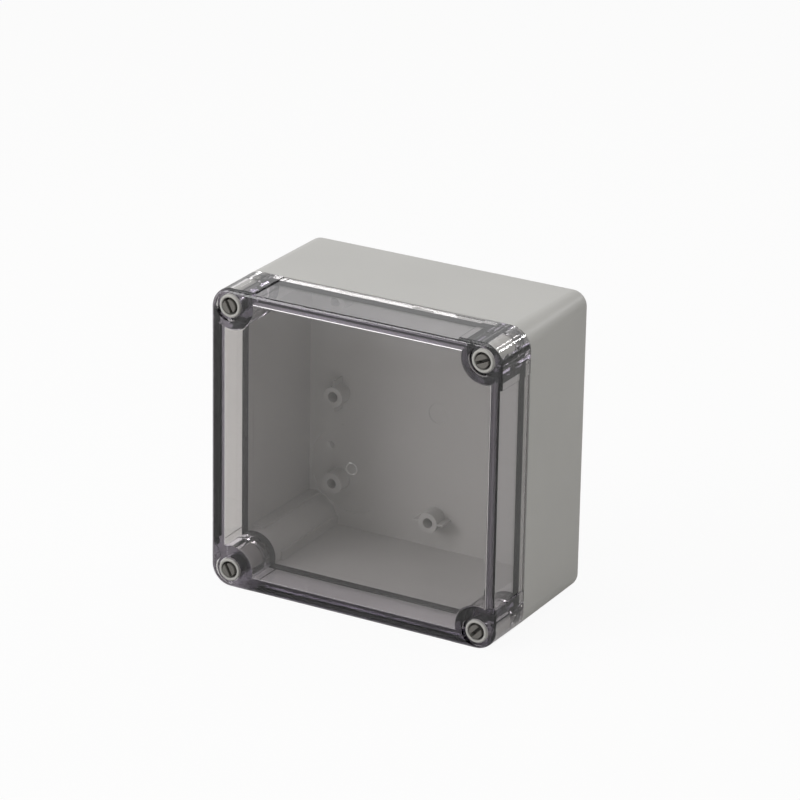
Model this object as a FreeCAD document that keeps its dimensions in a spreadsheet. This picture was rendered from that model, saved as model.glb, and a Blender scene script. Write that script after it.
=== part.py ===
import FreeCAD
import Part
import Sketcher
import math
import os

# Small wall box with a clear screw-down cover, standing upright with the cover towards -Y.
# Every piece is drawn looking at the cover: X to the right, Y up, Z out of the back face
# towards the viewer. PLACE_TURN then stands the box up, so that the shared +Z is up.

# Driving dimensions, in millimetres unless the name says otherwise.
DIMENSIONS = [
    ("body_width", 122.0),
    ("body_height", 119.6),
    ("body_depth", 70.5),
    ("cover_depth", 22.3),
    ("corner_radius", 8.4),
    ("screw_inset_x", 8.0),
    ("screw_inset_y", 7.0),
    ("pillar_radius", 9.2),
    ("seam_gap", 0.2),
    ("front_plate", 3.0),
    ("cover_wall", 4.4),
    ("cover_edge_radius", 2.0),
    ("cover_draft_deg", 0.4),
    ("panel_recess", 0.5),
    ("panel_end_margin", 1.0),
    ("skirt_wall", 2.8),
    ("rebate_depth", 5.1),
    ("gasket_height", 3.2),
    ("seal_gap", 0.2),
    ("base_floor", 4.5),
    ("back_inset_x", 1.5),
    ("back_inset_y", 0.35),
    ("back_corner_radius", 5.8),
    ("inner_draft_deg", 0.3),
    ("back_edge_radius", 3.0),
    ("rim_lip", 0.4),
    ("rim_lip_depth", 2.0),
    ("boss_height", 6.4),
    ("boss_radius", 4.0),
    ("corner_boss_radius", 4.3),
    ("boss_hole_radius", 2.0),
    ("boss_hole_depth", 5.5),
    ("boss_pitch_x", 85.2),
    ("boss_pitch_y", 85.2),
    ("corner_boss_pitch_y", 71.4),
    ("gusset_wall", 0.9),
    ("gusset_reach", 2.4),
    ("gusset_drop", 0.3),
    ("guide_rib_reach", 0.9),
    ("guide_rib_overlap", 1.5),
    ("gate_mark_radius", 4.0),
    ("gate_mark_depth", 0.2),
    ("fixing_hole_radius", 2.0),
    ("fixing_hole_depth", 12.0),
    ("head_recess_radius", 5.7),
    ("head_recess_depth", 1.4),
    ("head_setback", 0.5),
    ("sleeve_radius", 4.4),
    ("seat_depth", 15.0),
    ("seat_web", 1.6),
    ("cup_radius", 3.3),
    ("cup_depth", 6.0),
    ("stud_radius", 2.6),
    ("stud_rise", 0.4),
    ("cup_lip_chamfer", 0.25),
    ("slot_width", 1.2),
    ("slot_depth", 3.0),
    ("shank_radius", 3.0),
    ("shank_groove_radius", 2.5),
    ("shank_tip_chamfer", 0.8),
    ("bore_clearance", 0.3),
    ("tip_clearance", 1.0),
    ("ring_thickness", 1.4),
    ("ring_radius", 4.2),
    ("ring_bore_clearance", 0.1),
    ("ring_side_clearance", 0.1),
    ("ring_end_gap", 0.2),
    ("ring_cover_overlap", 0.3),
    ("ring_floor_gap", 0.5),
]

# Sizes that follow from the driving ones. Levels are heights above the back face.
DERIVED = [
    ("half_width", "Dims.body_width / 2"),
    ("half_height", "Dims.body_height / 2"),
    ("post_x", "Layout.half_width - Dims.screw_inset_x"),
    ("post_y", "Layout.half_height - Dims.screw_inset_y"),
    ("back_half_x", "Layout.half_width - Dims.back_inset_x"),
    ("back_half_y", "Layout.half_height - Dims.back_inset_y"),
    ("seam_level", "Dims.body_depth - Dims.cover_depth"),
    ("cover_back", "Layout.seam_level + Dims.seam_gap"),
    ("inner_half_x", "Layout.half_width - Dims.panel_recess - Dims.cover_wall"),
    ("inner_half_y", "Layout.half_height - Dims.panel_recess - Dims.cover_wall"),
    ("rebate_half_x", "Layout.half_width - Dims.skirt_wall"),
    ("rebate_half_y", "Layout.half_height - Dims.skirt_wall"),
    ("gasket_width", "Layout.rebate_half_x - Layout.inner_half_x"),
    ("rebate_post_radius", "Dims.pillar_radius - Layout.gasket_width"),
    ("rebate_level", "Layout.seam_level + Dims.rebate_depth"),
    ("gasket_level", "Layout.rebate_level - Dims.gasket_height"),
    ("tongue_height", "Dims.rebate_depth - Dims.gasket_height - Dims.seal_gap"),
    ("tongue_half_x", "Layout.rebate_half_x - Dims.seal_gap"),
    ("tongue_half_y", "Layout.rebate_half_y - Dims.seal_gap"),
    ("tongue_post_radius", "Layout.rebate_post_radius + Dims.seal_gap"),
    ("lip_level", "Layout.seam_level - Dims.rim_lip_depth"),
    ("cavity_half_x", "Layout.inner_half_x + Dims.rim_lip"),
    ("cavity_half_y", "Layout.inner_half_y + Dims.rim_lip"),
    ("column_radius", "Dims.pillar_radius - Dims.rim_lip"),
    ("cavity_depth", "Layout.lip_level - Dims.base_floor"),
    ("boss_top", "Dims.base_floor + Dims.boss_height"),
    ("boss_x", "Dims.boss_pitch_x / 2"),
    ("boss_y", "Dims.boss_pitch_y / 2"),
    ("corner_boss_y", "Dims.corner_boss_pitch_y / 2"),
    ("gusset_half", "Dims.gusset_wall / 2"),
    ("gusset_end", "Dims.boss_radius + Dims.gusset_reach"),
    ("gusset_height", "Dims.boss_height - Dims.gusset_drop"),
    ("rib_end", "Layout.column_radius + Dims.guide_rib_reach"),
    ("panel_half_x", "Layout.post_x - Dims.pillar_radius - Dims.panel_end_margin"),
    ("panel_half_y", "Layout.post_y - Dims.pillar_radius - Dims.panel_end_margin"),
    ("plate_back", "Dims.body_depth - Dims.front_plate"),
    ("sleeve_bore_radius", "Dims.sleeve_radius + Dims.bore_clearance"),
    ("shank_bore_radius", "Dims.shank_radius + Dims.bore_clearance"),
    ("ring_bore_radius", "Dims.ring_radius + Dims.bore_clearance"),
    ("seat_level", "Dims.body_depth - Dims.seat_depth"),
    ("web_back", "Layout.seat_level - Dims.seat_web"),
    ("ring_front", "Layout.cover_back + Dims.ring_cover_overlap"),
    ("screw_travel", "Layout.web_back - Layout.ring_front - Dims.ring_end_gap"),
    ("ring_back", "Layout.ring_front - Dims.ring_thickness"),
    ("counterbore_level", "Layout.ring_back - Dims.ring_floor_gap"),
    ("tip_level", "Layout.counterbore_level - Layout.screw_travel"),
    ("thread_bore_level", "Layout.tip_level - Dims.tip_clearance"),
    ("head_level", "Dims.body_depth - Dims.head_setback"),
    ("cup_floor", "Layout.head_level - Dims.cup_depth"),
    ("stud_top", "Layout.head_level + Dims.stud_rise"),
    ("slot_half", "Dims.slot_width / 2"),
    ("cup_lip_radius", "Dims.cup_radius + Dims.cup_lip_chamfer"),
    ("sleeve_edge_radius", "Dims.sleeve_radius - Dims.cup_lip_chamfer"),
    ("head_chamfer_level", "Layout.head_level - Dims.cup_lip_chamfer"),
    ("shank_tip_radius", "Dims.shank_radius - Dims.shank_tip_chamfer"),
    ("tip_chamfer_level", "Layout.tip_level + Dims.shank_tip_chamfer"),
    ("groove_front", "Layout.ring_front + Dims.ring_side_clearance"),
    ("groove_back", "Layout.ring_back - Dims.ring_side_clearance"),
    ("ring_inner_radius", "Dims.shank_groove_radius + Dims.ring_bore_clearance"),
]

# The corners of the box, seen from the front, and how far the slot of each screw is turned.
CORNERS = {
    "upper_left": (-1, 1, 118.0),
    "upper_right": (1, 1, 24.0),
    "lower_left": (-1, -1, 118.0),
    "lower_right": (1, -1, 46.0),
}
PLACE_TURN = FreeCAD.Rotation(FreeCAD.Vector(1, 0, 0), 90)


class Code:
    """Sketcher's own numbers for its origin, its axes and the points of a curve."""
    START, END, CENTRE = range(1, 4)
    X_AXIS, Y_AXIS = -START, -END
    ORIGIN = (X_AXIS, START)


doc = FreeCAD.newDocument("clear_cover_box")
sheet = doc.addObject("Spreadsheet::Sheet", "Dims")
for row, (alias, value) in enumerate(DIMENSIONS, start=1):
    sheet.set("A%d" % row, alias)
    sheet.set("B%d" % row, str(value))
    sheet.setAlias("B%d" % row, alias)
layout = doc.addObject("App::VarSet", "Layout")
for name, formula in DERIVED:
    layout.addProperty("App::PropertyFloat", name)
    layout.setExpression(name, formula)
doc.recompute()


def size(reference):
    """The number behind 'Dims.name' or 'Layout.name'."""
    holder, name = reference.split(".")
    return float(getattr(sheet if holder == "Dims" else layout, name))


def new_body(name, sign_x=0, sign_y=0, turn=0.0):
    """A body at the middle of the back face, or on one corner post, turned about its axis."""
    body = doc.addObject("PartDesign::Body", name)
    body.Label = name
    spin = FreeCAD.Rotation(FreeCAD.Vector(0, 0, 1), turn)
    body.Placement = FreeCAD.Placement(FreeCAD.Vector(), PLACE_TURN.multiply(spin))
    body.setExpression("Placement.Base.x", "%d * Layout.post_x" % sign_x)
    body.setExpression("Placement.Base.y", "Dims.body_depth / 2")
    body.setExpression("Placement.Base.z", "Layout.half_height + %d * Layout.post_y" % sign_y)
    return body


def new_sketch(body, name, level=None, role="XY_Plane"):
    """A sketch on one of the body's own planes, lifted to a level above the back face."""
    sketch = body.newObject("Sketcher::SketchObject", name)
    plane = next(item for item in body.Origin.OriginFeatures if item.Role == role)
    sketch.AttachmentSupport = [(plane, "")]
    sketch.MapMode = "FlatFace"
    if level is not None:
        sketch.setExpression("AttachmentOffset.Base.z", level)
    return sketch


def dimension(sketch, kind, reference, *items):
    """Add a dimension whose value comes from the sheet."""
    index = sketch.addConstraint(Sketcher.Constraint(kind, *items, abs(size(reference))))
    sketch.setExpression("Constraints[%d]" % index, reference)


def place_point(sketch, geometry, corner, sign_x, reference_x, sign_y, reference_y):
    """Hold one point at signed distances from the origin; no reference means on the axis."""
    point = (geometry, corner)
    for kind, axis, sign, reference in (("DistanceX", Code.Y_AXIS, sign_x, reference_x),
                                        ("DistanceY", Code.X_AXIS, sign_y, reference_y)):
        if reference is None:
            sketch.addConstraint(Sketcher.Constraint("PointOnObject", geometry, corner, axis))
        elif sign > 0:
            dimension(sketch, kind, reference, *Code.ORIGIN, *point)
        else:
            dimension(sketch, kind, reference, *point, *Code.ORIGIN)


def vector(x, y):
    return FreeCAD.Vector(x, y, 0)


def draw_circle(sketch, radius, sign_x=0, centre_x=None, sign_y=0, centre_y=None):
    """A circle whose centre is a signed distance from the origin along each axis."""
    x = sign_x * size(centre_x) if centre_x else 0.0
    y = sign_y * size(centre_y) if centre_y else 0.0
    circle = Part.Circle(vector(x, y), FreeCAD.Vector(0, 0, 1), size(radius))
    index = sketch.addGeometry(circle, False)
    place_point(sketch, index, Code.CENTRE, sign_x, centre_x, sign_y, centre_y)
    dimension(sketch, "Radius", radius, index)


def draw_post_circles(sketch, radius):
    """One circle on the axis of each corner screw."""
    for sign_x, sign_y, _turn in CORNERS.values():
        draw_circle(sketch, radius, sign_x, "Layout.post_x", sign_y, "Layout.post_y")


def draw_polygon(sketch, points):
    """A closed outline of straight lines. A point is (x, x reference, y, y reference)."""
    count = len(points)
    spots = [vector(point[0], point[2]) for point in points]
    lines = [sketch.addGeometry(Part.LineSegment(spots[i], spots[(i + 1) % count]), False)
             for i in range(count)]
    for i, line in enumerate(lines):
        sketch.addConstraint(Sketcher.Constraint("Coincident", line, Code.END,
                                                 lines[(i + 1) % count], Code.START))
        x, reference_x, y, reference_y = points[i]
        place_point(sketch, line, Code.START, x, reference_x, y, reference_y)


def signed_point(sign_x, reference_x, sign_y, reference_y):
    x = sign_x * size(reference_x) if reference_x else 0.0
    y = sign_y * size(reference_y) if reference_y else 0.0
    return (x, reference_x, y, reference_y)


def draw_turned_profile(sketch, points):
    """Half the section of a turned piece; each point is (radius, level), None on the axis."""
    draw_polygon(sketch, [signed_point(1, radius, 1, level) for radius, level in points])


def draw_rounded_rectangle(sketch, half_x, half_y, radius):
    """Four sides joined by tangent corner arcs, centred on the origin."""
    x, y, r = size(half_x), size(half_y), size(radius)
    corners = [(x, y, 0.0), (-x, y, 90.0), (-x, -y, 180.0), (x, -y, 270.0)]
    arcs = []
    for corner_x, corner_y, start in corners:
        centre = vector(corner_x - math.copysign(r, corner_x), corner_y - math.copysign(r, corner_y))
        circle = Part.Circle(centre, FreeCAD.Vector(0, 0, 1), r)
        arc = Part.ArcOfCircle(circle, math.radians(start), math.radians(start + 90.0))
        arcs.append(sketch.addGeometry(arc, False))
    lines = []
    for i, arc in enumerate(arcs):
        following = arcs[(i + 1) % 4]
        line = Part.LineSegment(sketch.getPoint(arc, Code.END), sketch.getPoint(following, Code.START))
        lines.append(sketch.addGeometry(line, False))
    for i, (arc, line) in enumerate(zip(arcs, lines)):
        following = arcs[(i + 1) % 4]
        sketch.addConstraint(Sketcher.Constraint("Tangent", arc, Code.END, line, Code.START))
        sketch.addConstraint(Sketcher.Constraint("Tangent", line, Code.END, following, Code.START))
        direction = "Horizontal" if i % 2 == 0 else "Vertical"
        sketch.addConstraint(Sketcher.Constraint(direction, line))
        if i > 0:
            sketch.addConstraint(Sketcher.Constraint("Equal", arcs[0], arc))
    dimension(sketch, "Radius", radius, arcs[0])
    dimension(sketch, "DistanceY", half_y, *Code.ORIGIN, lines[0], Code.START)
    dimension(sketch, "DistanceX", half_x, lines[1], Code.START, *Code.ORIGIN)
    dimension(sketch, "DistanceY", half_y, lines[2], Code.START, *Code.ORIGIN)
    dimension(sketch, "DistanceX", half_x, *Code.ORIGIN, lines[3], Code.START)


def draw_seal_line(sketch, half_x, half_y, post_radius):
    """The outline that the seal follows: four sides that bend inwards round the corner posts."""
    x, y, r = size(half_x), size(half_y), size(post_radius)
    post_x, post_y = size("Layout.post_x"), size("Layout.post_y")
    side_angle = math.degrees(math.acos((x - post_x) / r))
    top_angle = math.degrees(math.asin((y - post_y) / r))
    arcs = []
    for sign_x, sign_y, start, end in (
            (1, 1, 180.0 - top_angle, 360.0 - side_angle),
            (-1, 1, 180.0 + side_angle, 360.0 + top_angle),
            (-1, -1, -top_angle, 180.0 - side_angle),
            (1, -1, side_angle, 180.0 + top_angle)):
        centre = vector(sign_x * post_x, sign_y * post_y)
        circle = Part.Circle(centre, FreeCAD.Vector(0, 0, 1), r)
        arc = Part.ArcOfCircle(circle, math.radians(start), math.radians(end))
        index = sketch.addGeometry(arc, False)
        place_point(sketch, index, Code.CENTRE, sign_x, "Layout.post_x", sign_y, "Layout.post_y")
        arcs.append(index)
    lines = []
    for i, arc in enumerate(arcs):
        following = arcs[(i + 1) % 4]
        line = Part.LineSegment(sketch.getPoint(arc, Code.START), sketch.getPoint(following, Code.END))
        lines.append(sketch.addGeometry(line, False))
    for i, (arc, line) in enumerate(zip(arcs, lines)):
        following = arcs[(i + 1) % 4]
        sketch.addConstraint(Sketcher.Constraint("Coincident", arc, Code.START, line, Code.START))
        sketch.addConstraint(Sketcher.Constraint("Coincident", line, Code.END, following, Code.END))
        direction = "Horizontal" if i % 2 == 0 else "Vertical"
        sketch.addConstraint(Sketcher.Constraint(direction, line))
        if i > 0:
            sketch.addConstraint(Sketcher.Constraint("Equal", arcs[0], arc))
    dimension(sketch, "Radius", post_radius, arcs[0])
    dimension(sketch, "DistanceY", half_y, *Code.ORIGIN, lines[0], Code.START)
    dimension(sketch, "DistanceX", half_x, lines[1], Code.START, *Code.ORIGIN)
    dimension(sketch, "DistanceY", half_y, lines[2], Code.START, *Code.ORIGIN)
    dimension(sketch, "DistanceX", half_x, *Code.ORIGIN, lines[3], Code.START)


def extrude(body, kind, name, sketch, length, forward=True, draft=None):
    """Pad material on, or pocket it out, forward meaning away from the back face."""
    before = body.Tip.Shape.Volume if body.Tip else 0.0
    feature = body.newObject("PartDesign::" + kind, name)
    feature.Profile = sketch
    feature.setExpression("Length", length)
    feature.Reversed = (kind == "Pad") != forward
    if draft is not None:
        feature.setExpression("TaperAngle", draft)
    doc.recompute()
    change = feature.Shape.Volume - before
    if (change > 0) != (kind == "Pad"):
        raise RuntimeError("%s changed the volume by %.3f" % (name, change))
    return feature


def flat_face(shape, level):
    """The name of the largest flat face at one level, across the axis of the box."""
    best = None
    for number, face in enumerate(shape.Faces, start=1):
        spread = face.BoundBox
        if spread.ZLength < 1e-6 and abs(spread.ZMin - level) < 1e-6:
            if best is None or face.Area > best[0]:
                best = (face.Area, "Face%d" % number)
    return best[1]


def round_face_edges(body, name, level, radius):
    """Round every edge of the flat face at one level."""
    base = body.Tip
    local = base.Shape.copy()
    local.Placement = FreeCAD.Placement()
    fillet = body.newObject("PartDesign::Fillet", name)
    fillet.Base = (base, [flat_face(local, level)])
    fillet.setExpression("Radius", radius)
    doc.recompute()
    return fillet


def draw_bosses(sketch, radius, corner_radius):
    """The mounting bosses: one in the middle of each side and one near each corner."""
    for sign in (-1, 1):
        draw_circle(sketch, radius, sign, "Layout.boss_x")
        draw_circle(sketch, radius, 0, None, sign, "Layout.boss_y")
        for sign_y in (-1, 1):
            draw_circle(sketch, corner_radius, sign, "Layout.boss_x", sign_y, "Layout.corner_boss_y")


def make_base():
    """The grey base: drafted shell, four screw columns, seal tongue, bosses and ribs."""
    body = new_body("enclosure_base")
    back = new_sketch(body, "back_outline")
    draw_rounded_rectangle(back, "Layout.back_half_x", "Layout.back_half_y",
                           "Dims.back_corner_radius")
    rim = new_sketch(body, "rim_outline", "Layout.seam_level")
    draw_rounded_rectangle(rim, "Layout.half_width", "Layout.half_height", "Dims.corner_radius")
    block = body.newObject("PartDesign::AdditiveLoft", "base_block")
    block.Profile = rim
    block.Sections = [back]
    block.Ruled = True
    doc.recompute()
    round_face_edges(body, "back_edges", 0.0, "Dims.back_edge_radius")

    mouth = new_sketch(body, "rim_mouth_outline", "Layout.seam_level")
    draw_seal_line(mouth, "Layout.inner_half_x", "Layout.inner_half_y", "Dims.pillar_radius")
    extrude(body, "Pocket", "rim_mouth", mouth, "Dims.rim_lip_depth", forward=False)
    cavity = new_sketch(body, "cavity_outline", "Layout.lip_level")
    draw_seal_line(cavity, "Layout.cavity_half_x", "Layout.cavity_half_y", "Layout.column_radius")
    extrude(body, "Pocket", "cavity", cavity, "Layout.cavity_depth", forward=False,
            draft="-Dims.inner_draft_deg")

    tongue = new_sketch(body, "tongue_outline", "Layout.seam_level")
    draw_seal_line(tongue, "Layout.tongue_half_x", "Layout.tongue_half_y",
                   "Layout.tongue_post_radius")
    draw_seal_line(tongue, "Layout.inner_half_x", "Layout.inner_half_y", "Dims.pillar_radius")
    extrude(body, "Pad", "seal_tongue", tongue, "Layout.tongue_height")

    ribs = new_sketch(body, "guide_rib_outline", "Dims.base_floor")
    draw_guide_ribs(ribs)
    extrude(body, "Pad", "guide_ribs", ribs, "Layout.cavity_depth")

    gussets = new_sketch(body, "gusset_outline", "Dims.base_floor")
    draw_gussets(gussets)
    extrude(body, "Pad", "boss_gussets", gussets, "Layout.gusset_height")
    bosses = new_sketch(body, "boss_outline", "Dims.base_floor")
    draw_bosses(bosses, "Dims.boss_radius", "Dims.corner_boss_radius")
    extrude(body, "Pad", "bosses", bosses, "Dims.boss_height")
    boss_holes = new_sketch(body, "boss_hole_outline", "Layout.boss_top")
    draw_bosses(boss_holes, "Dims.boss_hole_radius", "Dims.boss_hole_radius")
    extrude(body, "Pocket", "boss_holes", boss_holes, "Dims.boss_hole_depth", forward=False)

    counterbores = new_sketch(body, "ring_pocket_outline", "Layout.counterbore_level")
    draw_post_circles(counterbores, "Layout.ring_bore_radius")
    extrude(body, "Pocket", "ring_pockets", counterbores, "Dims.cover_depth")
    threads = new_sketch(body, "thread_bore_outline", "Layout.thread_bore_level")
    draw_post_circles(threads, "Layout.shank_bore_radius")
    extrude(body, "Pocket", "thread_bores", threads, "Dims.cover_depth")
    fixings = new_sketch(body, "fixing_hole_outline")
    draw_post_circles(fixings, "Dims.fixing_hole_radius")
    extrude(body, "Pocket", "fixing_holes", fixings, "Dims.fixing_hole_depth")

    gate = new_sketch(body, "gate_mark_outline", "Dims.base_floor")
    draw_circle(gate, "Dims.gate_mark_radius")
    extrude(body, "Pocket", "gate_mark", gate, "Dims.gate_mark_depth", forward=False)
    return body


def draw_gussets(sketch):
    """A thin web through each side boss, along the wall that the boss stands next to."""
    half, reach = size("Layout.gusset_half"), size("Layout.gusset_end")
    for sign in (-1, 1):
        x = sign * size("Layout.boss_x")
        draw_box(sketch, x - half, x + half, -reach, reach)
        y = sign * size("Layout.boss_y")
        draw_box(sketch, -reach, reach, y - half, y + half)


def draw_box(sketch, low_x, high_x, low_y, high_y):
    spots = [vector(low_x, low_y), vector(high_x, low_y), vector(high_x, high_y),
             vector(low_x, high_y)]
    for i in range(4):
        sketch.addGeometry(Part.LineSegment(spots[i], spots[(i + 1) % 4]), False)


def draw_guide_ribs(sketch):
    """Two flat ribs on each corner column, which run from the walls to just past its axis."""
    over = size("Dims.guide_rib_overlap")
    root, end = size("Layout.rebate_post_radius"), size("Layout.rib_end")
    for sign_x, sign_y, _turn in CORNERS.values():
        x = sign_x * size("Layout.post_x")
        y = sign_y * size("Layout.post_y")
        wall_x = sign_x * size("Layout.rebate_half_x")
        wall_y = sign_y * size("Layout.rebate_half_y")
        draw_box(sketch, x - sign_x * over, wall_x, y - sign_y * root, y - sign_y * end)
        draw_box(sketch, x - sign_x * root, x - sign_x * end, y - sign_y * over, wall_y)


def make_cover():
    """The clear cover: front plate, side walls, four solid pillars and the seal rebate."""
    body = new_body("clear_cover")
    outline = new_sketch(body, "cover_outline", "Layout.cover_back")
    draw_rounded_rectangle(outline, "Layout.half_width", "Layout.half_height", "Dims.corner_radius")
    extrude(body, "Pad", "cover_block", outline, "Dims.cover_depth - Dims.seam_gap",
            draft="-Dims.cover_draft_deg")
    round_face_edges(body, "front_edges", size("Dims.body_depth"), "Dims.cover_edge_radius")
    panels = new_sketch(body, "side_panel_outline", "Layout.cover_back")
    draw_side_panels(panels)
    extrude(body, "Pocket", "side_panels", panels, "Dims.cover_depth", draft="Dims.cover_draft_deg")

    cavity = new_sketch(body, "cover_cavity_outline", "Layout.cover_back")
    draw_seal_line(cavity, "Layout.inner_half_x", "Layout.inner_half_y", "Dims.pillar_radius")
    extrude(body, "Pocket", "cover_cavity", cavity, "Layout.plate_back - Layout.cover_back")
    rebate = new_sketch(body, "seal_rebate_outline", "Layout.cover_back")
    draw_seal_line(rebate, "Layout.rebate_half_x", "Layout.rebate_half_y",
                   "Layout.rebate_post_radius")
    extrude(body, "Pocket", "seal_rebate", rebate, "Layout.rebate_level - Layout.cover_back")

    recesses = new_sketch(body, "head_recess_outline", "Dims.body_depth")
    draw_post_circles(recesses, "Dims.head_recess_radius")
    extrude(body, "Pocket", "head_recesses", recesses, "Dims.head_recess_depth", forward=False)
    sleeves = new_sketch(body, "sleeve_bore_outline", "Dims.body_depth")
    draw_post_circles(sleeves, "Layout.sleeve_bore_radius")
    extrude(body, "Pocket", "sleeve_bores", sleeves, "Dims.seat_depth", forward=False)
    webs = new_sketch(body, "web_hole_outline", "Layout.cover_back")
    draw_post_circles(webs, "Layout.shank_bore_radius")
    extrude(body, "Pocket", "web_holes", webs, "Dims.cover_depth")
    rings = new_sketch(body, "ring_bore_outline", "Layout.cover_back")
    draw_post_circles(rings, "Layout.ring_bore_radius")
    extrude(body, "Pocket", "ring_bores", rings, "Layout.web_back - Layout.cover_back")
    return body


def draw_side_panels(sketch):
    """The strip that is sunk into each side wall between the pillars."""
    panel_x, panel_y = size("Layout.panel_half_x"), size("Layout.panel_half_y")
    half_x, half_y = size("Layout.half_width"), size("Layout.half_height")
    recess = size("Dims.panel_recess")
    for sign in (-1, 1):
        draw_box(sketch, sign * (half_x - recess), sign * (half_x + recess), -panel_y, panel_y)
        draw_box(sketch, -panel_x, panel_x, sign * (half_y - recess), sign * (half_y + recess))


def make_gasket():
    """The dark rubber seal that lies in the cover's rebate and passes inside the pillars."""
    body = new_body("seal_gasket")
    outline = new_sketch(body, "gasket_outline", "Layout.gasket_level")
    draw_seal_line(outline, "Layout.rebate_half_x", "Layout.rebate_half_y",
                   "Layout.rebate_post_radius")
    draw_seal_line(outline, "Layout.inner_half_x", "Layout.inner_half_y", "Dims.pillar_radius")
    extrude(body, "Pad", "gasket_ring", outline, "Dims.gasket_height")
    return body


def make_screw(corner):
    """A captive cover screw: hollow head with a slotted stud, thick sleeve, grooved shank."""
    sign_x, sign_y, turn = CORNERS[corner]
    body = new_body("cover_screw_" + corner, sign_x, sign_y, turn)
    profile = new_sketch(body, "screw_profile_" + corner, role="XZ_Plane")
    layout_levels = [
        (None, "Layout.stud_top"),
        ("Dims.stud_radius", "Layout.stud_top"),
        ("Dims.stud_radius", "Layout.cup_floor"),
        ("Dims.cup_radius", "Layout.cup_floor"),
        ("Dims.cup_radius", "Layout.head_chamfer_level"),
        ("Layout.cup_lip_radius", "Layout.head_level"),
        ("Layout.sleeve_edge_radius", "Layout.head_level"),
        ("Dims.sleeve_radius", "Layout.head_chamfer_level"),
        ("Dims.sleeve_radius", "Layout.seat_level"),
        ("Dims.shank_radius", "Layout.seat_level"),
        ("Dims.shank_radius", "Layout.groove_front"),
        ("Dims.shank_groove_radius", "Layout.groove_front"),
        ("Dims.shank_groove_radius", "Layout.groove_back"),
        ("Dims.shank_radius", "Layout.groove_back"),
        ("Dims.shank_radius", "Layout.tip_chamfer_level"),
        ("Layout.shank_tip_radius", "Layout.tip_level"),
        (None, "Layout.tip_level"),
    ]
    draw_turned_profile(profile, layout_levels)
    turned = body.newObject("PartDesign::Revolution", "screw_turning_" + corner)
    turned.Profile = profile
    turned.ReferenceAxis = (profile, ["V_Axis"])
    turned.Angle = 360.0
    doc.recompute()
    slot = new_sketch(body, "slot_outline_" + corner, "Layout.stud_top")
    half = size("Layout.slot_half")
    reach = (size("Dims.stud_radius") + size("Dims.cup_radius")) / 2
    draw_box(slot, -reach, reach, -half, half)
    extrude(body, "Pocket", "driver_slot_" + corner, slot, "Dims.slot_depth", forward=False)
    return body


def make_ring(corner):
    """The rubber ring in the shank's groove that keeps the screw in the cover."""
    sign_x, sign_y, _turn = CORNERS[corner]
    body = new_body("retaining_ring_" + corner, sign_x, sign_y)
    outline = new_sketch(body, "ring_outline_" + corner, "Layout.ring_back")
    draw_circle(outline, "Dims.ring_radius")
    draw_circle(outline, "Layout.ring_inner_radius")
    extrude(body, "Pad", "ring_" + corner, outline, "Dims.ring_thickness")
    return body


def check_and_export(bodies):
    """Stop on any failed object or broken solid, then write one STEP file per piece."""
    doc.recompute()
    for item in doc.Objects:
        if "Invalid" in item.State or "Error" in item.State:
            raise RuntimeError("%s failed: %s" % (item.Name, item.State))
    for body in bodies:
        shape = body.Shape
        if shape.isNull() or not shape.isValid() or len(shape.Solids) != 1:
            raise RuntimeError("%s is not one valid solid" % body.Label)
    os.makedirs("parts", exist_ok=True)
    for body in bodies:
        body.Shape.exportStep("parts/%s.step" % body.Label)


pieces = [make_base(), make_cover(), make_gasket()]
pieces += [make_screw(corner) for corner in CORNERS]
pieces += [make_ring(corner) for corner in CORNERS]
check_and_export(pieces)
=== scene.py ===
import math

import bmesh
import bpy
from mathutils import Matrix, Vector


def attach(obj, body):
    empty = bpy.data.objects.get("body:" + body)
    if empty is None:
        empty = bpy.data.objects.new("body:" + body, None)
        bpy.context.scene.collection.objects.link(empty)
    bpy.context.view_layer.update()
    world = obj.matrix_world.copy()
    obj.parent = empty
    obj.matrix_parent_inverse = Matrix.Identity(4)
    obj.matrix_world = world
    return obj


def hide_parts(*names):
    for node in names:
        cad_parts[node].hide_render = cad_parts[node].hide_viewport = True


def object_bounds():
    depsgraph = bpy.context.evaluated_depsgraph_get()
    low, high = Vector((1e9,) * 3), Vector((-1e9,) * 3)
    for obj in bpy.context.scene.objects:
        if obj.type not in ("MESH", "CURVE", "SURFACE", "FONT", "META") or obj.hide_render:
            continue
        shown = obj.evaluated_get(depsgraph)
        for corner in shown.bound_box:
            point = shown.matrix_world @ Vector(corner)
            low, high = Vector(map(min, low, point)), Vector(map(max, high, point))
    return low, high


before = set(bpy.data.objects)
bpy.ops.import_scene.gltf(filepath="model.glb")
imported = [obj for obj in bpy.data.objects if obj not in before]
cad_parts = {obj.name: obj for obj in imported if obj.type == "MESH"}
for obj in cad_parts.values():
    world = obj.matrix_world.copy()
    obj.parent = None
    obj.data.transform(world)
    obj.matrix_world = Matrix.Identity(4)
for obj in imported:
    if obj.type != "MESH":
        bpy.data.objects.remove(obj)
CAD_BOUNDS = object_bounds()

bl_info = {
    "name": "Clear Cover Wall Box",
    "version": (1, 0, 0),
    "blender": (4, 5, 0),
    "location": "View3D > Sidebar > Wall Box",
    "description": "Adds the looks of a small grey box with a clear screw-down cover",
    "category": "Object",
}

CORNERS = ("upper_left", "upper_right", "lower_left", "lower_right")

# Face plate of the cover and the clean-up of its mesh
PLATE_DEPTH = 0.003
LEVEL_TOLERANCE = 0.00002
FLAT_NORMAL = 0.99
WELD_DISTANCE = 0.000001
COPLANAR_ANGLE = math.radians(0.2)
ROUND_STEPS = 6
ROUND_PROFILE = 0.5
SHARP_ANGLE = math.radians(30)
NORMAL_WEIGHT = 100

# Places seen from the front, as width and height
BOX_MIDDLE = (0.0, 0.0598)
SCREW_OFFSET = (0.053, 0.0528)

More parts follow.
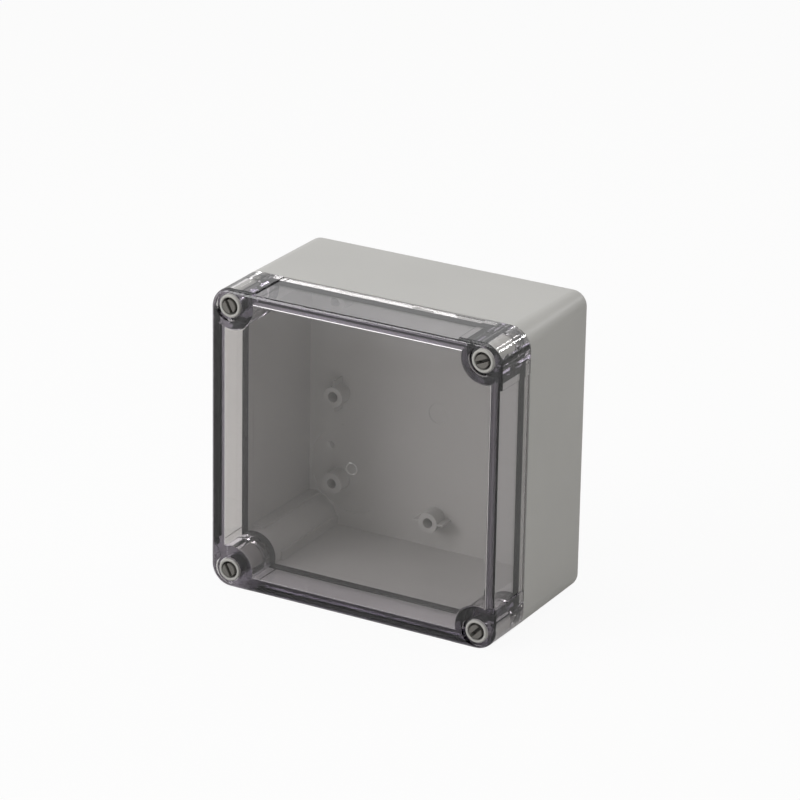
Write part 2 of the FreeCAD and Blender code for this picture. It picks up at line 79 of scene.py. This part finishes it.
# Fine marks on the face plate
RING_MARKS = (
    {"centre": BOX_MIDDLE, "radius": 0.0171, "height": 0.00004},
    {"centre": BOX_MIDDLE, "radius": 0.0022, "height": 0.00014},
)
MARK_WIDTH = 0.00025
PIP_MARK = {"centre": (-0.0093, 0.0673), "radius": 0.0022, "height": 0.00045}

# Long waves in the clear plastic, and ripples at a distance from each screw's axis
WAVE_SCALE = 30.0
WAVE_HEIGHT = 0.0003
RIPPLE_SCALE = 500.0
RIPPLE_HEIGHT = 0.00008
RIPPLE_START = (0.0065, 0.0075)
RIPPLE_END = (0.0083, 0.0081)
WAVE_DETAIL = 1.0
CLEAR_TO_LAMPS = (0.95, 0.95, 0.95)

# Grain, worn edges and cloudiness of the coloured plastics
GRAIN_DETAIL = 2.0
GRAIN_ROUGHNESS = 0.6
EDGE_RADIUS = 0.0004
CLOUD_SCALE = 22.0
CLOUD_DETAIL = 4.0
CLOUD_LIMITS = (0.3, 0.7)
CLOUD_SHARE = 0.03
PLASTIC_IOR = 1.5
RUBBER_GRAIN = 0.0005
RUBBER_GRAIN_DEPTH = 0.00002
SCREW_GRAIN = 0.0004
SCREW_GRAIN_DEPTH = 0.00001
# Painted shade inside the hollow screw heads: a darker colour out to this radius, with a soft
# edge, stands in for the shade of the deep recess
SHADED_CUP_RADIUS = 0.0033
SHADED_CUP_BLUR = 0.0002

# Camera, lamps, room and floor
SENSOR_WIDTH = 36.0
LAMP_TARGET = (0.0, 0.0, 0.06)
LAMPS = (
    {"name": "top_lamp", "power": "top_power", "place": (-0.1, -0.1, 1.0), "size": 0.8},
    {"name": "left_lamp", "power": "left_power", "place": (-0.9, -0.9, 0.6), "size": 0.8},
    {"name": "rim_lamp", "power": "rim_power", "place": (0.45, 0.9, 0.55), "size": 0.1},
)
WHITE = (1.0, 1.0, 1.0)
ROOM_COLOUR = (1.0, 0.985, 0.93)
ROOM_OPEN_SHARE = 1.0
ROOM_GLOSS_SHARE = 1.0
ROOM_CLEAR_SHARE = 0.2
FLOOR_HALF = 3.0
FLOOR_COLOUR = (0.8, 0.8, 0.8)
FLOOR_OPEN_SHARE = 0.93
GLOSS_FADE = (-0.27, -0.31)


class ShellLook(bpy.types.PropertyGroup):
    """Looks of the grey moulded base."""
    colour: bpy.props.FloatVectorProperty(
        name="Shell Colour", description="Colour of the grey plastic",
        subtype="COLOR", min=0.0, max=1.0, default=(0.49, 0.485, 0.472))
    roughness: bpy.props.FloatProperty(
        name="Shell Roughness", description="Gloss of the grey plastic, 0 is a mirror",
        subtype="FACTOR", min=0.0, max=1.0, default=0.42)
    grain: bpy.props.FloatProperty(
        name="Grain Size", description="Size of the fine moulded texture",
        subtype="DISTANCE", unit="LENGTH", default=0.0006)
    grain_depth: bpy.props.FloatProperty(
        name="Grain Depth", description="Depth of the fine moulded texture",
        subtype="DISTANCE", unit="LENGTH", default=0.00003)


class CoverLook(bpy.types.PropertyGroup):
    """Looks of the clear cover."""
    tint: bpy.props.FloatVectorProperty(
        name="Cover Tint", description="Light that is left after the smoked plastic",
        subtype="COLOR", min=0.0, max=1.0, default=(0.50, 0.44, 0.58))
    density: bpy.props.FloatProperty(
        name="Smoke Density", description="How strongly the clear plastic darkens with depth",
        min=0.0, default=55.0)
    pass_share: bpy.props.FloatVectorProperty(
        name="Surface Tint", description="Light that passes one surface, apart from its depth",
        subtype="COLOR", min=0.0, max=1.0, default=(0.935, 0.927, 0.892))
    ior: bpy.props.FloatProperty(
        name="Refraction", description="Index of refraction of the clear plastic",
        min=1.0, max=2.0, default=1.58)
    inner_round: bpy.props.FloatProperty(
        name="Inner Round", description="Radius between the face plate and the walls, inside",
        subtype="DISTANCE", unit="LENGTH", default=0.0015)


class FittingLook(bpy.types.PropertyGroup):
    """Looks of the rubber parts and the cover screws."""
    rubber_colour: bpy.props.FloatVectorProperty(
        name="Rubber Colour", description="Colour of the seal and the retaining rings",
        subtype="COLOR", min=0.0, max=1.0, default=(0.012, 0.012, 0.013))
    rubber_roughness: bpy.props.FloatProperty(
        name="Rubber Roughness", description="Gloss of the rubber, 0 is a mirror",
        subtype="FACTOR", min=0.0, max=1.0, default=0.5)
    screw_colour: bpy.props.FloatVectorProperty(
        name="Screw Colour", description="Colour of the plastic cover screws",
        subtype="COLOR", min=0.0, max=1.0, default=(0.46, 0.455, 0.435))
    # Painted shade: the darker colour inside the hollow screw heads stands in for the shade in
    # their deep recesses
    cup_shade_colour: bpy.props.FloatVectorProperty(
        name="Cup Colour", description="Darker colour inside the hollow screw heads",
        subtype="COLOR", min=0.0, max=1.0, default=(0.14, 0.133, 0.122))
    screw_roughness: bpy.props.FloatProperty(
        name="Screw Roughness", description="Gloss of the screws, 0 is a mirror",
        subtype="FACTOR", min=0.0, max=1.0, default=0.42)


class StageLook(bpy.types.PropertyGroup):
    """Camera, lamps and floor."""
    camera_place: bpy.props.FloatVectorProperty(
        name="Camera Place", description="Where the camera stands",
        subtype="TRANSLATION", unit="LENGTH", default=(0.7272, -1.28695, 0.6548))
    yaw: bpy.props.FloatProperty(
        name="Yaw", description="Turn of the camera to the left of the box's depth",
        subtype="ANGLE", default=math.radians(29.47))
    pitch: bpy.props.FloatProperty(
        name="Pitch", description="Tilt of the camera, less than 0 looks down",
        subtype="ANGLE", default=math.radians(-21.41))
    roll: bpy.props.FloatProperty(
        name="Roll", description="Turn of the camera about its own line of sight",
        subtype="ANGLE", default=math.radians(1.0))
    lens: bpy.props.FloatProperty(
        name="Lens", description="Focal length of the camera",
        subtype="DISTANCE_CAMERA", default=192.44)
    top_power: bpy.props.FloatProperty(
        name="Top Lamp", description="Power of the large lamp above the box",
        subtype="POWER", default=3.5)
    left_power: bpy.props.FloatProperty(
        name="Left Lamp", description="Power of the soft lamp at the front left",
        subtype="POWER", default=8.9)
    rim_power: bpy.props.FloatProperty(
        name="Rim Lamp", description="Power of the small lamp behind the right of the box",
        subtype="POWER", default=0.97)
    sky: bpy.props.FloatProperty(
        name="Room Light", description="Even light of the room on the box",
        min=0.0, default=0.36)
    near_gloss: bpy.props.FloatProperty(
        name="Near Gloss", description="White of the table just before the box, seen in gloss",
        subtype="FACTOR", min=0.0, max=1.0, default=0.1)
    far_gloss: bpy.props.FloatProperty(
        name="Far Gloss", description="White of the table further away, seen in gloss",
        subtype="FACTOR", min=0.0, max=1.0, default=1.0)
    clear_white: bpy.props.FloatProperty(
        name="Clear White", description="White of the table seen through clear plastic",
        subtype="FACTOR", min=0.0, max=1.0, default=0.0)


def new_material(name):
    """A material with an empty node tree and its output node."""
    material = bpy.data.materials.new(name)
    material.use_nodes = True
    material.node_tree.nodes.clear()
    output = material.node_tree.nodes.new("ShaderNodeOutputMaterial")
    return material, output


def add_node(tree, kind, **inputs):
    """A shader node with some of its sockets set by name."""
    node = tree.nodes.new(kind)
    for name, value in inputs.items():
        node.inputs[name.replace("_", " ")].default_value = value
    return node


def rgba(colour):
    """A colour with full opacity."""
    return (*colour, 1.0)


def math_node(tree, operation, *values):
    """A sum on one or two sockets or numbers, as the socket that holds its result."""
    node = tree.nodes.new("ShaderNodeMath")
    node.operation = operation
    for socket, value in zip(node.inputs, values):
        if isinstance(value, bpy.types.NodeSocket):
            tree.links.new(value, socket)
        else:
            socket.default_value = value
    return node.outputs[0]


def map_node(tree, value, limits, results=(0.0, 1.0), smooth=False):
    """A value carried from one pair of limits to another, as a socket."""
    node = add_node(tree, "ShaderNodeMapRange", From_Min=limits[0], From_Max=limits[1],
                    To_Min=results[0], To_Max=results[1])
    if smooth:
        node.interpolation_type = "SMOOTHSTEP"
    tree.links.new(value, node.inputs["Value"])
    return node.outputs[0]


def noise_node(tree, place, **inputs):
    """Noise on a piece's own coordinates, as a socket."""
    noise = add_node(tree, "ShaderNodeTexNoise", **inputs)
    tree.links.new(place.outputs["Object"], noise.inputs["Vector"])
    return noise.outputs["Fac"]


def object_axes(tree):
    """Width, depth and height of a point of a piece, as three sockets."""
    place = tree.nodes.new("ShaderNodeTexCoord")
    split = tree.nodes.new("ShaderNodeSeparateXYZ")
    tree.links.new(place.outputs["Object"], split.inputs[0])
    return [split.outputs[axis] for axis in "XYZ"]


def grainy_plastic(name, colour, roughness, grain, depth):
    """Moulded plastic: fine spark-eroded grain as bump, and a faint cloudiness of colour."""
    material, output = new_material(name)
    tree = material.node_tree
    place = tree.nodes.new("ShaderNodeTexCoord")
    fine = noise_node(tree, place, Scale=1.0 / grain, Detail=GRAIN_DETAIL,
                      Roughness=GRAIN_ROUGHNESS)
    bump = add_node(tree, "ShaderNodeBump", Strength=1.0, Distance=depth)
    tree.links.new(fine, bump.inputs["Height"])
    edge = add_node(tree, "ShaderNodeBevel", Radius=EDGE_RADIUS)
    tree.links.new(edge.outputs["Normal"], bump.inputs["Normal"])
    cloud = noise_node(tree, place, Scale=CLOUD_SCALE, Detail=CLOUD_DETAIL)
    ramp = tree.nodes.new("ShaderNodeValToRGB")
    shares = (1.0 - CLOUD_SHARE, 1.0 + CLOUD_SHARE)
    for stop, position, share in zip(ramp.color_ramp.elements, CLOUD_LIMITS, shares):
        stop.position = position
        stop.color = rgba([min(1.0, part * share) for part in colour])
    tree.links.new(cloud, ramp.inputs["Fac"])
    shader = add_node(tree, "ShaderNodeBsdfPrincipled", Roughness=roughness, IOR=PLASTIC_IOR)
    tree.links.new(ramp.outputs["Color"], shader.inputs["Base Color"])
    tree.links.new(bump.outputs["Normal"], shader.inputs["Normal"])
    tree.links.new(shader.outputs["BSDF"], output.inputs["Surface"])
    return material


def reach_from(tree, across, upward, centre):
    """Distance of a point from a centre, seen along the depth of the box."""
    wide = math_node(tree, "SUBTRACT", across, centre[0])
    high = math_node(tree, "SUBTRACT", upward, centre[1])
    squares = [math_node(tree, "MULTIPLY", side, side) for side in (wide, high)]
    return math_node(tree, "SQRT", math_node(tree, "ADD", *squares))


def mould_marks(tree):
    """Height of two fine ring lines and a round pip on the face plate of the cover."""
    across, depth, upward = object_axes(tree)
    pip_reach = reach_from(tree, across, upward, PIP_MARK["centre"])
    height = map_node(tree, pip_reach, (PIP_MARK["radius"], 0.0), (0.0, PIP_MARK["height"]),
                      smooth=True)
    for ring in RING_MARKS:
        reach = reach_from(tree, across, upward, ring["centre"])
        off = math_node(tree, "ABSOLUTE", math_node(tree, "SUBTRACT", reach, ring["radius"]))
        line = map_node(tree, off, (0.0, MARK_WIDTH), (ring["height"], 0.0))
        height = math_node(tree, "ADD", height, line)
    middle_of_plate = CAD_BOUNDS[0][1] + PLATE_DEPTH / 2
    front = math_node(tree, "LESS_THAN", depth, middle_of_plate)
    return math_node(tree, "MULTIPLY", height, front)


def screw_reach(tree):
    """Distance from the axis of the nearest cover screw, as a socket."""
    across, depth, upward = object_axes(tree)
    lifted = math_node(tree, "SUBTRACT", upward, BOX_MIDDLE[1])
    wide = math_node(tree, "ABSOLUTE", across)
    high = math_node(tree, "ABSOLUTE", lifted)
    return reach_from(tree, wide, high, SCREW_OFFSET)


def moulded_waves(tree):
    """Normal of a polished moulding: flow waves, ripples in the pillars and mould marks."""
    place = tree.nodes.new("ShaderNodeTexCoord")
    waves = noise_node(tree, place, Scale=WAVE_SCALE, Detail=WAVE_DETAIL)
    ripples = noise_node(tree, place, Scale=RIPPLE_SCALE, Detail=WAVE_DETAIL)
    reach = screw_reach(tree)
    pillar = math_node(tree, "MULTIPLY", map_node(tree, reach, RIPPLE_END),
                       map_node(tree, reach, RIPPLE_START))
    rippled = math_node(tree, "MULTIPLY", ripples, pillar)
    fine = math_node(tree, "MULTIPLY", rippled, RIPPLE_HEIGHT)
    long = math_node(tree, "MULTIPLY", waves, WAVE_HEIGHT)
    flow = math_node(tree, "ADD", fine, long)
    height = math_node(tree, "ADD", flow, mould_marks(tree))
    bump = add_node(tree, "ShaderNodeBump", Strength=1.0, Distance=1.0)
    tree.links.new(height, bump.inputs["Height"])
    return bump.outputs["Normal"]


def smoked_plastic(look):
    """Clear plastic that bends light and darkens with depth; lamps shine through it."""
    material, output = new_material("smoked_clear_plastic")
    tree = material.node_tree
    shader = add_node(tree, "ShaderNodeBsdfPrincipled", Roughness=0.0, IOR=look.ior)
    shader.inputs["Base Color"].default_value = rgba(look.pass_share)
    shader.inputs["Transmission Weight"].default_value = 1.0
    tree.links.new(moulded_waves(tree), shader.inputs["Normal"])
    passing = add_node(tree, "ShaderNodeBsdfTransparent", Color=rgba(CLEAR_TO_LAMPS))
    ray = tree.nodes.new("ShaderNodeLightPath")
    either = math_node(tree, "MAXIMUM", ray.outputs["Is Shadow Ray"],
                       ray.outputs["Is Diffuse Ray"])
    mix = tree.nodes.new("ShaderNodeMixShader")
    tree.links.new(either, mix.inputs["Fac"])
    tree.links.new(shader.outputs["BSDF"], mix.inputs[1])
    tree.links.new(passing.outputs["BSDF"], mix.inputs[2])
    tree.links.new(mix.outputs["Shader"], output.inputs["Surface"])
    smoke = add_node(tree, "ShaderNodeVolumeAbsorption", Color=rgba(look.tint),
                     Density=look.density)
    tree.links.new(smoke.outputs["Volume"], output.inputs["Volume"])
    return material


def dress(node, material):
    """Give a CAD piece its material."""
    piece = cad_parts[node]
    piece.data.materials.clear()
    piece.data.materials.append(material)


class WALLBOX_OT_base(bpy.types.Operator):
    """Dress the grey base"""
    bl_idname = "wallbox.base"
    bl_label = "Grey Base"

    def execute(self, context):
        look = context.scene.shell_look
        plastic = grainy_plastic("grey_moulded_plastic", look.colour, look.roughness,
                                 look.grain, look.grain_depth)
        dress("enclosure_base", plastic)
        return {"FINISHED"}


def plate_back_edges(bm, level):
    """Edges that lie on the back of the face plate and have a wall on their other side."""
    edges = []
    for edge in bm.edges:
        on_level = all(abs(vert.co.y - level) < LEVEL_TOLERANCE for vert in edge.verts)
        if not on_level or len(edge.link_faces) != 2:
            continue
        flat = [abs(face.normal.y) > FLAT_NORMAL for face in edge.link_faces]
        if flat[0] != flat[1]:
            edges.append(edge)
    return edges


def cover_mesh(source, look):
    """A copy of the CAD cover, its triangles joined and its face plate rounded into the walls."""
    mesh = source.copy()
    bm = bmesh.new()
    bm.from_mesh(mesh)
    bmesh.ops.remove_doubles(bm, verts=bm.verts, dist=WELD_DISTANCE)
    bmesh.ops.dissolve_limit(bm, angle_limit=COPLANAR_ANGLE, verts=bm.verts, edges=bm.edges)
    front = min(vert.co.y for vert in bm.verts)
    edges = plate_back_edges(bm, front + PLATE_DEPTH)
    bmesh.ops.bevel(bm, geom=edges, offset=look.inner_round, offset_type="OFFSET",
                    segments=ROUND_STEPS, profile=ROUND_PROFILE, affect="EDGES",
                    clamp_overlap=True)
    bm.to_mesh(mesh)
    bm.free()
    return mesh


def smooth_shading(piece):
    """Smooth the rounds of a piece and keep its flat faces flat."""
    mesh = piece.data
    mesh.shade_smooth()
    if "custom_normal" in mesh.attributes:
        mesh.attributes.remove(mesh.attributes["custom_normal"])
    mesh.set_sharp_from_angle(angle=SHARP_ANGLE)
    even = piece.modifiers.new("even_normals", "WEIGHTED_NORMAL")
    even.mode = "FACE_AREA_WITH_ANGLE"
    even.weight = NORMAL_WEIGHT
    even.keep_sharp = True


class WALLBOX_OT_cover(bpy.types.Operator):
    """Dress the clear cover"""
    bl_idname = "wallbox.cover"
    bl_label = "Clear Cover"

    def execute(self, context):
        look = context.scene.cover_look
        mesh = cover_mesh(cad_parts["clear_cover"].data, look)
        piece = bpy.data.objects.new("clear_cover_moulding", mesh)
        context.scene.collection.objects.link(piece)
        smooth_shading(piece)
        mesh.materials.clear()
        mesh.materials.append(smoked_plastic(look))
        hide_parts("clear_cover")
        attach(piece, "cover")
        return {"FINISHED"}


class WALLBOX_OT_seal(bpy.types.Operator):
    """Dress the rubber seal and the retaining rings"""
    bl_idname = "wallbox.seal"
    bl_label = "Rubber Seal"

    def execute(self, context):
        look = context.scene.fitting_look
        rubber = grainy_plastic("black_rubber", look.rubber_colour, look.rubber_roughness,
                                RUBBER_GRAIN, RUBBER_GRAIN_DEPTH)
        dress("seal_gasket", rubber)
        for corner in CORNERS:
            dress("retaining_ring_" + corner, rubber)
        return {"FINISHED"}


def shade_cup(material, painted_shade):
    """Paint shade on a screw inside its hollow head: a darker colour within the cup radius stands
    in for the shade of the deep recess.
    """
    tree = material.node_tree
    shader = next(node for node in tree.nodes if node.type == "BSDF_PRINCIPLED")
    light = shader.inputs["Base Color"].links[0].from_socket
    # Mask of the painted shade: the darker colour inside the cup radius, the plain plastic
    # outside it
    ring = map_node(tree, screw_reach(tree), (SHADED_CUP_RADIUS - SHADED_CUP_BLUR, SHADED_CUP_RADIUS))
    mix = tree.nodes.new("ShaderNodeMixRGB")
    mix.inputs["Color1"].default_value = rgba(painted_shade)
    tree.links.new(ring, mix.inputs["Fac"])
    tree.links.new(light, mix.inputs["Color2"])
    tree.links.new(mix.outputs["Color"], shader.inputs["Base Color"])


class WALLBOX_OT_screws(bpy.types.Operator):
    """Dress the four cover screws"""
    bl_idname = "wallbox.screws"
    bl_label = "Cover Screws"

    def execute(self, context):
        look = context.scene.fitting_look
        plastic = grainy_plastic("light_grey_plastic", look.screw_colour, look.screw_roughness,
                                 SCREW_GRAIN, SCREW_GRAIN_DEPTH)
        # Painted shade inside the hollow screw heads
        shade_cup(plastic, look.cup_shade_colour)
        for corner in CORNERS:
            dress("cover_screw_" + corner, plastic)
        return {"FINISHED"}


def add_camera(scene, look):
    """The camera, turned by yaw and pitch, and rolled about its line of sight."""
    data = bpy.data.cameras.new("photo_camera")
    data.lens = look.lens
    data.sensor_width = SENSOR_WIDTH
    camera = bpy.data.objects.new("photo_camera", data)
    scene.collection.objects.link(camera)
    level = math.cos(look.pitch)
    ahead = Vector((-math.sin(look.yaw) * level, math.cos(look.yaw) * level,
                    math.sin(look.pitch)))
    right = Vector((math.cos(look.yaw), math.sin(look.yaw), 0.0))
    up = right.cross(ahead)
    across = right * math.cos(look.roll) + up * math.sin(look.roll)
    upward = up * math.cos(look.roll) - right * math.sin(look.roll)
    turn = Matrix((across, upward, -ahead)).transposed()
    camera.matrix_world = Matrix.Translation(look.camera_place) @ turn.to_4x4()
    scene.camera = camera


def add_lamp(scene, name, place, size, power):
    """A square soft lamp that faces the box."""
    data = bpy.data.lights.new(name, "AREA")
    data.shape = "SQUARE"
    data.size = size
    data.energy = power
    lamp = bpy.data.objects.new(name, data)
    scene.collection.objects.link(lamp)
    aim = Vector(LAMP_TARGET) - Vector(place)
    turn = aim.to_track_quat("-Z", "Y").to_matrix()
    lamp.matrix_world = Matrix.Translation(place) @ turn.to_4x4()


def white_for_camera(tree, lit, white, output, open_share, gloss_share, clear_share):
    """Show a share of white to the camera, one to gloss and one through clear plastic."""
    ray = tree.nodes.new("ShaderNodeLightPath")
    seen = math_node(tree, "MULTIPLY", ray.outputs["Is Camera Ray"], open_share)
    gloss = math_node(tree, "MULTIPLY", ray.outputs["Is Glossy Ray"], gloss_share)
    clear = math_node(tree, "MULTIPLY", ray.outputs["Is Transmission Ray"], clear_share)
    mix = tree.nodes.new("ShaderNodeMixShader")
    most = math_node(tree, "MAXIMUM", math_node(tree, "MAXIMUM", seen, gloss), clear)
    tree.links.new(most, mix.inputs["Fac"])
    tree.links.new(lit.outputs[0], mix.inputs[1])
    tree.links.new(white.outputs[0], mix.inputs[2])
    tree.links.new(mix.outputs["Shader"], output.inputs["Surface"])


def add_room(scene, look):
    """Even room light that the camera sees as white."""
    world = bpy.data.worlds.new("room")
    scene.world = world
    world.use_nodes = True
    tree = world.node_tree
    tree.nodes.clear()
    output = tree.nodes.new("ShaderNodeOutputWorld")
    room = add_node(tree, "ShaderNodeBackground", Color=rgba(ROOM_COLOUR), Strength=look.sky)
    white = add_node(tree, "ShaderNodeBackground", Color=rgba(WHITE), Strength=1.0)
    white_for_camera(tree, room, white, output,
                     ROOM_OPEN_SHARE, ROOM_GLOSS_SHARE, ROOM_CLEAR_SHARE)


def pale_floor(look):
    """A pale floor that keeps the shadow, and turns white in gloss further from the box."""
    material, output = new_material("pale_floor")
    tree = material.node_tree
    lit = add_node(tree, "ShaderNodeBsdfDiffuse", Color=rgba(FLOOR_COLOUR))
    white = add_node(tree, "ShaderNodeEmission", Color=rgba(WHITE), Strength=1.0)
    across, depth, upward = object_axes(tree)
    gloss = map_node(tree, depth, GLOSS_FADE, (look.near_gloss, look.far_gloss), smooth=True)
    white_for_camera(tree, lit, white, output, FLOOR_OPEN_SHARE, gloss, look.clear_white)
    return material


def add_floor(scene, look):
    """A square floor under the box."""
    half = FLOOR_HALF
    mesh = bpy.data.meshes.new("floor")
    corners = [(-half, -half, 0), (half, -half, 0), (half, half, 0), (-half, half, 0)]
    mesh.from_pydata(corners, [], [(0, 1, 2, 3)])
    mesh.materials.append(pale_floor(look))
    floor = bpy.data.objects.new("floor", mesh)
    scene.collection.objects.link(floor)


class WALLBOX_OT_stage(bpy.types.Operator):
    """Add the camera, the lamps, the room light and the floor"""
    bl_idname = "wallbox.stage"
    bl_label = "Stage"

    def execute(self, context):
        scene = context.scene
        look = scene.stage_look
        scene.view_settings.view_transform = "Standard"
        add_camera(scene, look)
        for lamp in LAMPS:
            power = getattr(look, lamp["power"])
            add_lamp(scene, lamp["name"], lamp["place"], lamp["size"], power)
        add_room(scene, look)
        add_floor(scene, look)
        return {"FINISHED"}


class WALLBOX_PT_panel(bpy.types.Panel):
    """Lists the steps that build the looks of the box"""
    bl_idname = "WALLBOX_PT_panel"
    bl_label = "Clear Cover Wall Box"
    bl_space_type = "VIEW_3D"
    bl_region_type = "UI"
    bl_category = "Wall Box"

    def draw(self, context):
        for step in STEPS:
            self.layout.operator(step.bl_idname)


LOOKS = {
    "shell_look": ShellLook,
    "cover_look": CoverLook,
    "fitting_look": FittingLook,
    "stage_look": StageLook,
}
STEPS = (WALLBOX_OT_base, WALLBOX_OT_cover, WALLBOX_OT_seal, WALLBOX_OT_screws, WALLBOX_OT_stage)


def register():
    for name, look in LOOKS.items():
        bpy.utils.register_class(look)
        setattr(bpy.types.Scene, name, bpy.props.PointerProperty(type=look))
    for item in STEPS + (WALLBOX_PT_panel,):
        bpy.utils.register_class(item)


def unregister():
    for item in reversed(STEPS + (WALLBOX_PT_panel,)):
        bpy.utils.unregister_class(item)
    for name, look in LOOKS.items():
        delattr(bpy.types.Scene, name)
        bpy.utils.unregister_class(look)


def main():
    register()
    for step in STEPS:
        family, action = step.bl_idname.split(".")
        getattr(getattr(bpy.ops, family), action)()


if __name__ == "__main__":
    main()
